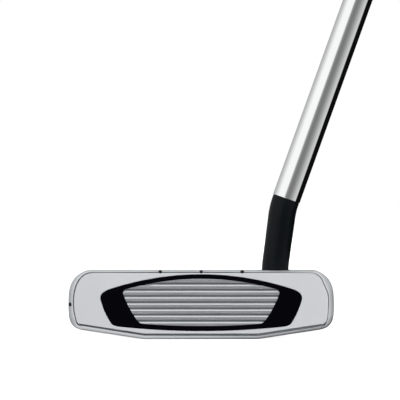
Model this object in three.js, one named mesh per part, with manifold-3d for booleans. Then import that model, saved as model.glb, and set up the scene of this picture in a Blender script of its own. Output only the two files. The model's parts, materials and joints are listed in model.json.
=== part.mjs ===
// A mallet putter: a milled aluminium head with a beam-and-polymer face insert, a bent steel neck,
// a stepless steel shaft and a pistol grip. Millimetres, +Z up, +X towards the heel, the face looks to -Y.
// The origin is on the flat of the sole, under the middle of the face and 30 mm behind the leading edge.
import * as THREE from "three";
import { mergeVertices } from "three/addons/utils/BufferGeometryUtils.js";
import Module from "manifold-3d";

const wasm = await Module();
wasm.setup();

// ---------- driving dimensions ----------

const FIT = 0.3; // gap left between two pieces that touch on the bench
const FACE_Y = -30; // leading edge of the face, at the sole
const FACE_HEIGHT = 25.7;
const LOFT = THREE.MathUtils.degToRad(3); // the face leans back by this much
const LIE = THREE.MathUtils.degToRad(70.2); // shaft to ground, seen from the front
const CLUB_LENGTH = 863.6; // 34 inches, ground to butt along the shaft

const SOLE_FLAT_HALF = 21.4; // the sole is flat this far each way, then rises to heel and toe
const SOLE_RISE = THREE.MathUtils.degToRad(8.6);
const REAR_RISE_START_Y = 45.5; // behind this the sole lifts off the ground
const REAR_RISE = THREE.MathUtils.degToRad(16);

const BLADE_BACK_Y = -10; // back of the thick front bar
const DECK_Z = 21; // height of the deck where it meets the bar
const DECK_FALL = 4 / 64; // the deck drops towards the back by this slope
const EDGE_BEVEL = 1.1; // bevel along the edges of the deck
const OUTLINE_STEPS = 7; // facets along each curve of the head's outlines

const POCKET_DEPTH = 4.4; // of the face insert's pocket
const INSERT_DEPTH = 3.7;
const BEAM_COUNT = 8;
const BEAM_PITCH = 2.32;
const BEAM_TOP_Z = 22.72; // top edge of the highest beam

const HOSEL_X = 28.12; // where the neck enters the head
const HOSEL_Y = -18.2;
const HOSEL_FOOT_Z = 8; // bottom of the neck's tenon, inside the head
const HOSEL_RADIUS = 5.08;
const SHOULDER_RADIUS = 5.25;
const SPIGOT_RADIUS = 4.45;
const SPIGOT_LENGTH = 24;
const SHAFT_Y = -25; // the neck leans forward to bring the shaft level with the face
const SHAFT_FOOT = new THREE.Vector3(32.08, SHAFT_Y, 52.8); // centre of the neck's shoulder
const SHAFT_AXIS = new THREE.Vector3(Math.cos(LIE), 0, Math.sin(LIE));

const SHAFT_TIP_RADIUS = 5.3;
const SHAFT_BUTT_RADIUS = 7.5;
const SHAFT_WALL = 0.5;
const TIP_PARALLEL = 130; // the tip keeps its diameter this far up, then widens evenly
const TAPER_END = 620;
const GRIP_LENGTH = 266.7;
const CAP_THICKNESS = 4;

const PORT = { x: 38.5, y: 38, radius: 7, depth: 6.4 }; // sole weight ports, one each side
const BALLAST = { radius: 6, height: 6.2 };

const { tan, sin, cos } = Math;
const v2 = (x, y) => new THREE.Vector2(x, y);
const v3 = (x, y, z) => new THREE.Vector3(x, y, z);

// ---------- materials ----------

const finish = (color, roughness, metalness) =>
  new THREE.MeshStandardMaterial({ color, roughness, metalness });
const satinSilver = finish(0xcfd3d6, 0.35, 0.9);
const blackAnodised = finish(0x17191b, 0.4, 0.6);
const blackSteel = finish(0x14171a, 0.45, 0.5);
const chrome = finish(0xf2f4f5, 0.06, 1);
const beamMetal = finish(0x9a9ea1, 0.3, 1);
const polymer = finish(0x050608, 0.5, 0);
const rubber = finish(0x1b1c1e, 0.85, 0);
const foam = finish(0x6c6f66, 0.95, 0);
const weightSteel = finish(0xa9adb0, 0.3, 1);
const tungsten = finish(0x6d6f73, 0.5, 1);
const whiteEnamel = finish(0xf4f4f0, 0.4, 0);
const blackEnamel = finish(0x060607, 0.35, 0);
const tape = finish(0xd8cfb4, 0.8, 0);
const seal = finish(0x8c1f1f, 0.6, 0);

// ---------- solids ----------

function toSolid(geometry) {
  const bare = geometry.index ? geometry.toNonIndexed() : geometry.clone();
  bare.deleteAttribute("normal");
  bare.deleteAttribute("uv");
  const merged = mergeVertices(bare, 1e-3);
  return new wasm.Manifold(
    new wasm.Mesh({
      numProp: 3,
      vertProperties: merged.attributes.position.array,
      triVerts: new Uint32Array(merged.index.array),
    }),
  );
}

function toGeometry(solid) {
  const mesh = solid.getMesh();
  const geometry = new THREE.BufferGeometry();
  geometry.setAttribute(
    "position",
    new THREE.BufferAttribute(new Float32Array(mesh.vertProperties), 3),
  );
  geometry.setIndex(new THREE.BufferAttribute(new Uint32Array(mesh.triVerts), 1));
  geometry.computeVertexNormals();
  return geometry;
}

const cut = (body, ...tools) =>
  toGeometry(tools.reduce((left, tool) => left.subtract(toSolid(tool)), toSolid(body)));
const join = (...bodies) =>
  toGeometry(bodies.map(toSolid).reduce((all, body) => all.add(body)));
const common = (...bodies) =>
  toGeometry(bodies.map(toSolid).reduce((all, body) => all.intersect(body)));

// An upright prism: the shape's x and y are the object's x and y.
function prismZ(shape, zLow, zHigh, curveSegments = 5) {
  const geometry = new THREE.ExtrudeGeometry(shape, {
    depth: zHigh - zLow,
    bevelEnabled: false,
    curveSegments,
  });
  return geometry.translate(0, 0, zLow);
}

// A prism that runs front to back: the shape's x and y are the object's x and z.
function prismY(shape, yLow, yHigh, curveSegments = 7) {
  const geometry = new THREE.ExtrudeGeometry(shape, {
    depth: yHigh - yLow,
    bevelEnabled: false,
    curveSegments,
  });
  return geometry.rotateX(Math.PI / 2).translate(0, yHigh, 0);
}

// A round bar between two points; the second radius makes it a cone.
function rod(from, to, radius, sides = 24, endRadius = radius) {
  const along = v3(0, 0, 0).subVectors(to, from);
  const turn = new THREE.Quaternion().setFromUnitVectors(
    v3(0, 1, 0),
    along.clone().normalize(),
  );
  return new THREE.CylinderGeometry(endRadius, radius, along.length(), sides)
    .translate(0, along.length() / 2, 0)
    .applyQuaternion(turn)
    .translate(from.x, from.y, from.z);
}

// A closed skin over convex sections that all have the same number of points, each running
// anticlockwise as seen from the last section.
function loft(sections) {
  const n = sections[0].length;
  const positions = sections.flat().flatMap((p) => [p.x, p.y, p.z]);
  const faces = [];
  for (let s = 0; s + 1 < sections.length; s++)
    for (let i = 0; i < n; i++) {
      const a = s * n + i;
      const b = s * n + ((i + 1) % n);
      faces.push(a, b, b + n, a, b + n, a + n);
    }
  const last = (sections.length - 1) * n;
  for (let i = 1; i + 1 < n; i++) {
    faces.push(0, i + 1, i);
    faces.push(last, last + i, last + i + 1);
  }
  const geometry = new THREE.BufferGeometry();
  geometry.setAttribute("position", new THREE.Float32BufferAttribute(positions, 3));
  geometry.setIndex(faces);
  geometry.computeVertexNormals();
  return geometry;
}

// A ring of points round a centre, square to the given direction.
function ring(centre, direction, radius, sides) {
  const across = v3(0, 1, 0).cross(direction).normalize();
  const up = direction.clone().cross(across).normalize();
  return Array.from({ length: sides }, (_, i) => {
    const angle = (2 * Math.PI * i) / sides;
    return centre
      .clone()
      .addScaledVector(across, radius * cos(angle))
      .addScaledVector(up, radius * sin(angle));
  });
}

// A solid of revolution round Z from [radius, z] pairs.
const turned = (profile, sides = 24) =>
  new THREE.LatheGeometry(
    profile.map(([r, z]) => v2(r, z)),
    sides,
  ).rotateX(Math.PI / 2);

// Everything in the face plane is drawn upright and then leaned back by the loft.
const lean = new THREE.Matrix4().makeShear(0, 0, 0, 0, 0, tan(LOFT));
// Everything on the deck is drawn level and then tipped down towards the back.
const tip = new THREE.Matrix4()
  .makeTranslation(0, BLADE_BACK_Y, DECK_Z)
  .multiply(new THREE.Matrix4().makeShear(0, 0, 0, -DECK_FALL, 0, 0))
  .multiply(new THREE.Matrix4().makeTranslation(0, -BLADE_BACK_Y, 0));

// ---------- outlines ----------

// Draws a shape from its heel half, which runs from the centre line round to the centre line.
// Each step is a list of coordinates: two for a line, four for a quadratic, six for a cubic.
function mirrored(start, steps) {
  const shape = new THREE.Shape();
  shape.moveTo(...start);
  const draw = (step) => {
    if (step.length === 2) shape.lineTo(...step);
    else if (step.length === 4) shape.quadraticCurveTo(...step);
    else shape.bezierCurveTo(...step);
  };
  steps.forEach(draw);
  const ends = [start, ...steps].map((step) => step.slice(-2));
  for (let i = steps.length - 1; i >= 0; i--) {
    const controls = steps[i].slice(0, -2);
    const back = [];
    for (let j = controls.length - 2; j >= 0; j -= 2)
      back.push(-controls[j], controls[j + 1]);
    draw([...back, -ends[i][0], ends[i][1]]);
  }
  return shape;
}

// Front outline of the head at its widest.
const bodyOutline = mirrored(
  [0, 0],
  [
    [SOLE_FLAT_HALF, 0],
    [44.4, (44.4 - SOLE_FLAT_HALF) * tan(SOLE_RISE)],
    [47.8, 4, 49.5, 5.5, 49.8, 9],
    [50.05, 11.2, 50.15, 13.6, 49.95, 16],
    [49.55, 21.3, 46.6, FACE_HEIGHT, 42.7, FACE_HEIGHT],
    [0, FACE_HEIGHT],
  ],
);

// Outline of the flat face inside the bevel that runs round it.
const FACE_SOLE_Z = 2.2;
const FACE_CROWN_Z = 25.35;
const faceOutline = mirrored(
  [0, FACE_SOLE_Z],
  [
    [SOLE_FLAT_HALF, FACE_SOLE_Z],
    [44.9, FACE_SOLE_Z + (44.9 - SOLE_FLAT_HALF) * tan(SOLE_RISE)],
    [46, 5.9, 46.6, 6.3, 46.85, 7.6],
    [47.45, 9.6, 47.85, 12.6, 47.65, 15.6],
    [47.3, 20.6, 45, FACE_CROWN_Z, 40.6, FACE_CROWN_Z],
    [0, FACE_CROWN_Z],
  ],
);

// The insert's pocket, and the window in the insert that shows the beams.
const insertOutline = (gap) =>
  mirrored(
    [0, 3.16 + gap],
    [
      [16, 3.16 + gap, 31 - gap, 4.85 + gap],
      [33.2 - gap, 5.1 + gap, 33.9 - gap, 6.2 + gap],
      [36.4 - gap, 10, 37.7 - gap, 14.6],
      [38.3 - gap, 16.5, 37.3 - gap, 17.7 - gap, 34.7 - gap, 18.75 - gap],
      [17.5, 24.4 - gap, 0, 24.4 - gap],
    ],
  );
const windowOutline = (gap) =>
  mirrored(
    [0, 5.08 + gap],
    [
      [12, 5.08 + gap, 20 - gap, 5.75 + gap],
      [23 - gap, 6 + gap, 24.3 - gap, 7.4 + gap],
      [27.4 - gap, 11.4, 29.3 - gap, 17 - gap],
      [29.6 - gap, 18.3 - gap, 28.3 - gap, 18.85 - gap],
      [14, 22.78 - gap, 0, 22.78 - gap],
    ],
  );

// Plan of the wings and spine behind the bar, with a window between spine and wing on each side.
const WAIST_Y = 2;
const planOutline = mirrored(
  [0, -20],
  [
    [45, -20],
    [45, -12],
    [43, -8, 42.2, -4, 42.8, WAIST_Y],
    [43.8, 12, 49.4, 20, 49.4, 33],
    [49.4, 42, 48.4, 50, 43, 52.6],
    [38, 55, 30.5, 54.6, 26.5, 51.5],
    [22, 48, 19, 42.5, 12, 42.5],
    [0, 42.5],
  ],
);
function wingWindow(side) {
  const path = new THREE.Path();
  path.moveTo(side * 14.5, WAIST_Y);
  [
    [14.5, -0.5, 16, -2, 18.5, -2],
    [22, -2, 28, -2, 31, -2],
    [34.5, -2, 35.2, 0, 35.6, 3],
    [36.3, 9, 38.6, 14, 39.6, 19],
    [40.2, 23, 38.5, 25.5, 35.5, 26.6],
    [30, 28.6, 27.5, 31, 25, 34],
    [23.4, 36, 21.5, 36.4, 19, 36.4],
    [16, 36.4, 14.5, 35, 14.5, 32],
  ].forEach(([a, b, c, d, e, f]) =>
    path.bezierCurveTo(side * a, b, side * c, d, side * e, f),
  );
  path.closePath();
  return path;
}

// The crown plate is a T: a bar along the back of the blade and a stem down the spine.
const crownOutline = (gap) =>
  mirrored(
    [0, -8.6 + gap],
    [
      [29, -8.6 + gap],
      [31 - gap, -8.6 + gap, 31 - gap, -6.2],
      [31 - gap, -3.6 - gap, 29, -3.6 - gap],
      [18, -3.6 - gap],
      [12.4 - gap, -3.6 - gap, 11.6 - gap, 3],
      [11.6 - gap, 34.5],
      [11.6 - gap, 38 - gap, 8.5, 38 - gap],
      [0, 38 - gap],
    ],
  );

const roundedBox = (xHalf, yLow, yHigh, radius) =>
  mirrored(
    [0, yLow],
    [
      [xHalf - radius, yLow],
      [xHalf, yLow, xHalf, yLow + radius],
      [xHalf, yHigh - radius],
      [xHalf, yHigh, xHalf - radius, yHigh],
      [0, yHigh],
    ],
  );

// ---------- screws ----------

const SCREW = { headRadius: 1.9, rim: 0.25, coneDepth: 1.2, shankRadius: 1.05, length: 6.2 };
const SCREW_SIDES = 14;

// A countersunk socket screw with its head's top at the origin, pointing down.
function countersunkScrew() {
  const { headRadius, rim, coneDepth, shankRadius, length } = SCREW;
  const body = turned(
    [
      [0, -length],
      [shankRadius * 0.7, -length],
      [shankRadius, -length + 0.5],
      [shankRadius, -coneDepth],
      [headRadius, -rim],
      [headRadius, 0],
      [0, 0],
    ],
    SCREW_SIDES,
  );
  const socket = rod(v3(0, 0, -0.9), v3(0, 0, 1), 0.95, 6);
  return cut(body, socket);
}

// The hole that it goes in, with room all round.
function countersunkHole() {
  const { headRadius, rim, coneDepth, shankRadius, length } = SCREW;
  return turned(
    [
      [0, -length - FIT],
      [shankRadius + FIT, -length - FIT],
      [shankRadius + FIT, -coneDepth - FIT],
      [headRadius + FIT, -rim - FIT],
      [headRadius + FIT, 3],
      [0, 3],
    ],
    SCREW_SIDES,
  );
}

const DECK_TILT = -Math.atan(DECK_FALL);
const deckZ = (y) => DECK_Z - DECK_FALL * (y - BLADE_BACK_Y);
const CROWN_SCREWS = [
  [-27.5, -6.1],
  [27.5, -6.1],
  [-8.4, 34.2],
  [8.4, 34.2],
].map(([x, y]) => ({ position: v3(x, y, deckZ(y) - 0.1), tilt: DECK_TILT }));

const SOLE_PLATE = { halfWidth: 12.5, front: 4, back: 31, thickness: 1.4 };
const SOLE_SCREWS = [
  [-9.7, 7],
  [9.7, 7],
  [-9.7, 28],
  [9.7, 28],
].map(([x, y]) => ({ position: v3(x, y, 0.1), tilt: Math.PI }));

const screwMatrix = ({ position, tilt }) =>
  new THREE.Matrix4().makeRotationX(tilt).setPosition(position);
const screwHoles = (screws) =>
  screws.map((screw) => countersunkHole().applyMatrix4(screwMatrix(screw)));

// ---------- sole weight ports ----------

// A port's frame: its origin is on the sole and its Z runs square to the sole, into the head.
function portMatrix(side) {
  const z = (PORT.x - SOLE_FLAT_HALF) * tan(SOLE_RISE);
  return new THREE.Matrix4()
    .makeRotationY(-side * SOLE_RISE)
    .setPosition(side * PORT.x, PORT.y, z);
}

function portCutter(side) {
  const { radius, depth } = PORT;
  const ballastRadius = BALLAST.radius + FIT;
  const roof = depth + BALLAST.height + 2 * FIT;
  return turned(
    [
      [0, -6],
      [radius + 0.6, -6],
      [radius + 0.6, 0],
      [radius, 0.6],
      [radius, depth],
      [ballastRadius, depth],
      [ballastRadius, roof],
      [0, roof],
    ],
    32,
  ).applyMatrix4(portMatrix(side));
}

// ---------- the head frame ----------

const lerpOutline = (a, b, t) => a.map((p, i) => p.clone().lerp(b[i], t));

// The thick front bar: the flat face, a fine groove round it, a bevel, and straight sides.
function blade() {
  const face = faceOutline.getPoints(OUTLINE_STEPS).reverse();
  const body = bodyOutline.getPoints(OUTLINE_STEPS).reverse();
  const leaned = (points, depth) =>
    points.map((p) => v3(p.x, FACE_Y + depth + p.y * tan(LOFT), p.y));
  const upright = (points, y) => points.map((p) => v3(p.x, y, p.y));
  return loft([
    leaned(face, 0),
    leaned(lerpOutline(face, body, 0.08), 0.45),
    leaned(lerpOutline(face, body, 0.22), 0.45),
    leaned(lerpOutline(face, body, 0.3), 0.15),
    leaned(lerpOutline(face, body, 0.55), 0.3),
    leaned(lerpOutline(face, body, 0.85), 1.1),
    leaned(body, 2.4),
    upright(body, BLADE_BACK_Y - 1.8),
    upright(lerpOutline(body, face, 0.85), BLADE_BACK_Y),
  ]);
}

// Spine and wings: the plan with a bevelled top edge, tipped with the deck and trimmed to the sole.
function wings() {
  planOutline.holes = [wingWindow(1), wingWindow(-1)];
  const depth = 30;
  const block = new THREE.ExtrudeGeometry(planOutline, {
    depth,
    bevelThickness: EDGE_BEVEL,
    bevelSize: EDGE_BEVEL,
    bevelOffset: -EDGE_BEVEL,
    bevelSegments: 2,
    curveSegments: OUTLINE_STEPS,
  })
    .translate(0, 0, -depth - EDGE_BEVEL)
    .applyMatrix4(tip);
  const hull = prismY(bodyOutline, FACE_Y + 6, 60, OUTLINE_STEPS);
  const lift = 40 * tan(REAR_RISE);
  const rearWedge = new THREE.Shape([
    v2(REAR_RISE_START_Y, 0),
    v2(REAR_RISE_START_Y + 40, lift),
    v2(REAR_RISE_START_Y + 40, -5),
    v2(REAR_RISE_START_Y, -5),
  ]);
  const wedge = new THREE.ExtrudeGeometry(rearWedge, { depth: 140, bevelEnabled: false })
    .rotateX(Math.PI / 2)
    .rotateZ(Math.PI / 2)
    .translate(-70, 0, 0);
  return cut(common(block, hull), wedge);
}

const SIGHT = { halfWidth: 0.6, front: -7.6, back: 36, depth: 0.5 };
const DOT = { radius: 0.5, spacing: 15.4, depth: 0.35, proud: 0.15, length: 0.6, gap: 0.15 };
const PLUG = { radius: 0.5, length: 4, proud: 0.12 };
const CORE = { halfWidth: 6.8, front: 9.6, back: 25.4 };
const CROWN_THICKNESS = 1.4;
const BOLT = { headRadius: 3.2, headHeight: 2.6, shankRadius: 2, top: 17.5, seatZ: 5.4 };

// The dots stand in the front edge of the crown and point forwards and up.
const DOT_AXIS = v3(0, -1, 1).normalize();
const dotPoint = (i, along) => {
  const y = FACE_Y + DOT.depth + FACE_HEIGHT * tan(LOFT);
  return v3(i * DOT.spacing, y, FACE_HEIGHT - 0.2).addScaledVector(DOT_AXIS, along);
};

// The toe plug stands square to the bevel on the toe side of the face.
const PLUG_AXIS = v3(-0.77, -0.64, 0).normalize();
const PLUG_FACE = v3(-49.45, FACE_Y + 0.9 + 13.1 * tan(LOFT), 13.1);

function headFrame() {
  const pocket = prismY(insertOutline(0), FACE_Y - 3, FACE_Y + POCKET_DEPTH).applyMatrix4(
    lean,
  );
  const socket = rod(
    v3(HOSEL_X, HOSEL_Y, HOSEL_FOOT_Z - FIT),
    v3(HOSEL_X, HOSEL_Y, 40),
    HOSEL_RADIUS + FIT,
    32,
  );
  const boltShaft = rod(
    v3(HOSEL_X, HOSEL_Y, -5),
    v3(HOSEL_X, HOSEL_Y, 12),
    BOLT.shankRadius + FIT,
  );
  const boltHead = rod(
    v3(HOSEL_X, HOSEL_Y, -5),
    v3(HOSEL_X, HOSEL_Y, BOLT.seatZ),
    BOLT.headRadius + FIT,
    32,
  );
  const crownRecess = prismZ(crownOutline(0), -CROWN_THICKNESS - FIT, 6).applyMatrix4(tip);
  const soleRecess = prismZ(
    roundedBox(
      SOLE_PLATE.halfWidth + FIT,
      SOLE_PLATE.front - FIT,
      SOLE_PLATE.back + FIT,
      3,
    ),
    -5,
    SOLE_PLATE.thickness + FIT,
  );
  const coreCavity = prismZ(
    roundedBox(CORE.halfWidth + FIT, CORE.front - FIT, CORE.back + FIT, 2),
    0.5,
    30,
  );
  const dotHoles = [-1, 0, 1].map((i) =>
    rod(dotPoint(i, -DOT.length - DOT.gap), dotPoint(i, 2), DOT.radius + DOT.gap, 16),
  );
  const plugHole = rod(
    PLUG_FACE.clone().addScaledVector(PLUG_AXIS, -PLUG.length - FIT),
    PLUG_FACE.clone().addScaledVector(PLUG_AXIS, 2),
    PLUG.radius + 0.15,
    16,
  );
  return cut(
    join(blade(), wings()),
    pocket,
    socket,
    boltShaft,
    boltHead,
    crownRecess,
    soleRecess,
    coreCavity,
    portCutter(1),
    portCutter(-1),
    plugHole,
    ...dotHoles,
    ...screwHoles(CROWN_SCREWS),
    ...screwHoles(SOLE_SCREWS),
  );
}

// ---------- the face insert ----------

const INSERT_RECESS = 0.12; // the insert sits this far behind the metal face
const BEAM_DEPTH = 2.4;
const BEAM_GAP = 0.24;

function insertBody() {
  const block = prismY(
    insertOutline(FIT),
    FACE_Y + INSERT_RECESS,
    FACE_Y + INSERT_DEPTH,
  ).applyMatrix4(lean);
  const window = prismY(
    windowOutline(0),
    FACE_Y - 1,
    FACE_Y + BEAM_DEPTH + FIT,
  ).applyMatrix4(lean);
  return cut(block, window);
}

// One beam: a flat land, a short facet above it that looks up and a longer one below that looks down.
function insertBeam(index) {
  const top = BEAM_TOP_Z - index * BEAM_PITCH;
  const back = FACE_Y + BEAM_DEPTH;
  const land = FACE_Y + INSERT_RECESS;
  const section = new THREE.Shape([
    v2(land + 0.42, top),
    v2(land, top - 0.4),
    v2(land, top - 1.55),
    v2(land + 0.6, top - BEAM_PITCH + BEAM_GAP),
    v2(back, top - BEAM_PITCH + BEAM_GAP),
    v2(back, top),
  ]);
  const half = 32;
  const bar = new THREE.ExtrudeGeometry(section, { depth: 2 * half, bevelEnabled: false })
    .rotateX(Math.PI / 2)
    .rotateZ(Math.PI / 2)
    .translate(-half, 0, 0);
  const window = prismY(windowOutline(FIT), FACE_Y - 2, FACE_Y + 6);
  return common(bar, window).applyMatrix4(lean);
}

// The double-sided film that bonds the insert to the floor of its pocket.
const insertAdhesive = () =>
  prismY(
    insertOutline(1.2),
    FACE_Y + INSERT_DEPTH + 0.15,
    FACE_Y + POCKET_DEPTH - 0.15,
  ).applyMatrix4(lean);

// ---------- neck, shaft and grip ----------

const NECK_BASE = v3(HOSEL_X, HOSEL_Y, 27.4);
const NECK_TOP = SHAFT_FOOT.clone().addScaledVector(SHAFT_AXIS, -3.7);

// Rings round a corner of the neck, along a quadratic curve that starts and ends `reach` from it.
function bend(corner, before, after, reach, radius, sides) {
  const curve = new THREE.QuadraticBezierCurve3(
    corner.clone().addScaledVector(before, -reach),
    corner,
    corner.clone().addScaledVector(after, reach),
  );
  return [0, 0.2, 0.4, 0.6, 0.8, 1].map((t) =>
    ring(curve.getPoint(t), curve.getTangent(t), radius, sides),
  );
}

function neck() {
  const sides = 24;
  const up = v3(0, 0, 1);
  const rise = v3(0, 0, 0).subVectors(NECK_TOP, NECK_BASE).normalize();
  const foot = v3(HOSEL_X, HOSEL_Y, HOSEL_FOOT_Z);
  const tube = loft([
    ring(foot, up, HOSEL_RADIUS, sides),
    ...bend(NECK_BASE, up, rise, 2, HOSEL_RADIUS, sides),
    ...bend(NECK_TOP, rise, SHAFT_AXIS, 3.4, SHOULDER_RADIUS, sides),
    ring(SHAFT_FOOT, SHAFT_AXIS, SHOULDER_RADIUS, sides),
  ]);
  const spigotEnd = SHAFT_FOOT.clone().addScaledVector(SHAFT_AXIS, SPIGOT_LENGTH);
  const spigot = rod(
    SHAFT_FOOT.clone().addScaledVector(SHAFT_AXIS, -2),
    spigotEnd,
    SPIGOT_RADIUS,
    sides,
  );
  const boltHole = rod(
    v3(HOSEL_X, HOSEL_Y, HOSEL_FOOT_Z - 1),
    v3(HOSEL_X, HOSEL_Y, BOLT.top + 1),
    BOLT.shankRadius + FIT,
  );
  return cut(join(tube, spigot), boltHole);
}

function neckBolt() {
  const { headRadius, headHeight, shankRadius, top, seatZ } = BOLT;
  const headZ = seatZ - FIT - headHeight;
  const body = turned([
    [0, headZ],
    [headRadius - 0.3, headZ],
    [headRadius, headZ + 0.3],
    [headRadius, headZ + headHeight],
    [shankRadius, headZ + headHeight],
    [shankRadius, top - 0.6],
    [shankRadius - 0.5, top],
    [0, top],
  ]).translate(HOSEL_X, HOSEL_Y, 0);
  const socket = rod(
    v3(HOSEL_X, HOSEL_Y, headZ - 1),
    v3(HOSEL_X, HOSEL_Y, headZ + 1.6),
    1.75,
    6,
  );
  return cut(body, socket);
}

// Shaft-side pieces are drawn along Z from the neck's shoulder. Their +X is the underside of the
// leaning shaft, which faces the player, and -X is the top, where the thumbs lie.
const shaftGroup = new THREE.Group();
shaftGroup.position.copy(SHAFT_FOOT);
shaftGroup.rotation.y = Math.PI / 2 - LIE;

const groundToFoot = SHAFT_FOOT.z / sin(LIE);
const SHAFT_LENGTH = CLUB_LENGTH - groundToFoot - CAP_THICKNESS;
const GRIP_TOP = SHAFT_LENGTH + FIT;
const GRIP_FOOT = SHAFT_LENGTH + CAP_THICKNESS - GRIP_LENGTH;

function shaft() {
  const start = FIT;
  const outer = [
    [SHAFT_TIP_RADIUS, start],
    [SHAFT_TIP_RADIUS, TIP_PARALLEL],
    [SHAFT_BUTT_RADIUS, TAPER_END],
    [SHAFT_BUTT_RADIUS, SHAFT_LENGTH],
  ];
  const inner = outer.map(([r, z]) => [r - SHAFT_WALL, z]).reverse();
  return turned([...outer, ...inner, outer[0]], 32);
}

const TAPE = { gap: 0.25, thickness: 0.35 };
const TAPE_RADIUS = SHAFT_BUTT_RADIUS + TAPE.gap + TAPE.thickness;

function gripTape() {
  const low = GRIP_FOOT + 6;
  const high = SHAFT_LENGTH - 2;
  const inner = SHAFT_BUTT_RADIUS + TAPE.gap;
  return turned(
    [
      [inner, low],
      [TAPE_RADIUS, low],
      [TAPE_RADIUS, high],
      [inner, high],
      [inner, low],
    ],
    28,
  );
}

// Grip sections from foot to butt: share of the length, half width across the flat,
// height of the flat above the axis, and depth of the rounded underside below it.
const GRIP_SECTIONS = [
  [0, 8.9, 8.9, 8.9],
  [0.012, 9.7, 9.5, 9.7],
  [0.12, 10.5, 9.7, 10.4],
  [0.35, 11.5, 10, 11.4],
  [0.6, 12.3, 10.3, 12.4],
  [0.76, 12.8, 10.5, 13.4],
  [0.87, 13.3, 10.7, 15.8],
  [0.94, 13.8, 11, 18],
  [0.985, 13.9, 11.1, 18.6],
  [1, 13.2, 10.6, 17.8],
];

// A D-shaped section: a flat on top (-X) with rounded shoulders and a deep round belly (+X).
function gripRing(z, halfWidth, flat, belly, sides = 32) {
  const squareness = 3.2; // of the thumb side: 2 is an ellipse
  return Array.from({ length: sides }, (_, i) => {
    const angle = (2 * Math.PI * i) / sides;
    const c = cos(angle);
    const s = sin(angle);
    const power = c < 0 ? 2 / squareness : 1;
    const x = Math.sign(c) * Math.abs(c) ** power * (c < 0 ? flat : belly);
    const y = Math.sign(s) * Math.abs(s) ** power * halfWidth;
    return v3(x, y, z);
  });
}

function grip() {
  const length = GRIP_TOP - GRIP_FOOT;
  const skin = loft(
    GRIP_SECTIONS.map(([t, ...size]) => gripRing(GRIP_FOOT + t * length, ...size)),
  );
  const bore = rod(
    v3(0, 0, GRIP_FOOT - 5),
    v3(0, 0, GRIP_TOP + 5),
    TAPE_RADIUS + 0.25,
    28,
  );
  return cut(skin, bore);
}

// The butt cap: a plate over the end of grip and shaft, a plug into the shaft and a vent hole.
function gripCap() {
  const top = SHAFT_LENGTH + CAP_THICKNESS;
  const low = GRIP_TOP + FIT;
  const plate = loft([
    gripRing(low, 13, 10.4, 17.5),
    gripRing(top - 1.4, 12.7, 10.2, 17.1),
    gripRing(top - 0.4, 11.8, 9.4, 16.2),
    gripRing(top, 10.6, 8.4, 14.9),
  ]);
  const plugRadius = SHAFT_BUTT_RADIUS - SHAFT_WALL - FIT;
  const plug = rod(v3(0, 0, SHAFT_LENGTH - 8), v3(0, 0, low + 1), plugRadius);
  const vent = rod(v3(0, 0, SHAFT_LENGTH - 12), v3(0, 0, top + 3), 1, 16);
  return cut(join(plate, plug), vent);
}

// ---------- sole weights ----------

const WEIGHT = { radius: 6.65, low: 0.2, height: 4.8, socket: 2.4 };
const SEAL_HEIGHT = 0.8;

function soleWeight(side) {
  const { radius, low, height, socket } = WEIGHT;
  const body = turned(
    [
      [0, low],
      [radius - 0.5, low],
      [radius, low + 0.5],
      [radius, low + height - 0.4],
      [radius - 0.4, low + height],
      [0, low + height],
    ],
    32,
  );
  const hexagon = rod(v3(0, 0, -2), v3(0, 0, low + socket), 2.6, 6);
  return cut(body, hexagon).applyMatrix4(portMatrix(side));
}

function weightSeal(side) {
  const low = WEIGHT.low + WEIGHT.height + 0.2;
  return turned(
    [
      [4.4, low],
      [6.5, low],
      [6.5, low + SEAL_HEIGHT],
      [4.4, low + SEAL_HEIGHT],
      [4.4, low],
    ],
    28,
  ).applyMatrix4(portMatrix(side));
}

function ballast(side) {
  const low = PORT.depth + FIT;
  const { radius, height } = BALLAST;
  return turned(
    [
      [0, low],
      [radius, low],
      [radius, low + height],
      [0, low + height],
    ],
    24,
  ).applyMatrix4(portMatrix(side));
}

// ---------- crown, core and sole ----------

function crownPlate() {
  const plate = prismZ(crownOutline(FIT), -CROWN_THICKNESS, 0).applyMatrix4(tip);
  const groove = prismZ(
    roundedBox(
      SIGHT.halfWidth + 0.2,
      SIGHT.front - 0.2,
      SIGHT.back + 0.2,
      SIGHT.halfWidth,
    ),
    -SIGHT.depth - 0.2,
    2,
  ).applyMatrix4(tip);
  return cut(plate, groove, ...screwHoles(CROWN_SCREWS));
}

const sightLine = () =>
  prismZ(
    roundedBox(SIGHT.halfWidth, SIGHT.front, SIGHT.back, SIGHT.halfWidth - 0.1),
    -SIGHT.depth,
    0,
  ).applyMatrix4(tip);

const sightDot = (i) =>
  rod(dotPoint(i, -DOT.length), dotPoint(i, DOT.proud), DOT.radius, 16);

const toePlug = () =>
  rod(
    PLUG_FACE.clone().addScaledVector(PLUG_AXIS, -PLUG.length),
    PLUG_FACE.clone().addScaledVector(PLUG_AXIS, PLUG.proud),
    PLUG.radius,
    16,
  );

const coreFoam = () =>
  prismZ(
    roundedBox(CORE.halfWidth, CORE.front, CORE.back, 1.8),
    SOLE_PLATE.thickness + FIT,
    deckZ(CORE.back) - CROWN_THICKNESS - 2 * FIT,
  );

function solePlate() {
  const { halfWidth, front, back, thickness } = SOLE_PLATE;
  const plate = prismZ(roundedBox(halfWidth, front, back, 2.8), 0.1, thickness);
  return cut(plate, ...screwHoles(SOLE_SCREWS));
}

// ---------- assembly ----------

const putter = new THREE.Group();

function add(name, geometry, material, parent = putter) {
  const mesh = new THREE.Mesh(geometry, material);
  mesh.name = name;
  parent.add(mesh);
  return mesh;
}

add("head_frame", headFrame(), satinSilver);
add("face_insert_body", insertBody(), polymer);
add("face_insert_adhesive", insertAdhesive(), tape);
for (let i = 0; i < BEAM_COUNT; i++)
  add(`face_insert_beam_${i + 1}`, insertBeam(i), beamMetal);

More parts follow.
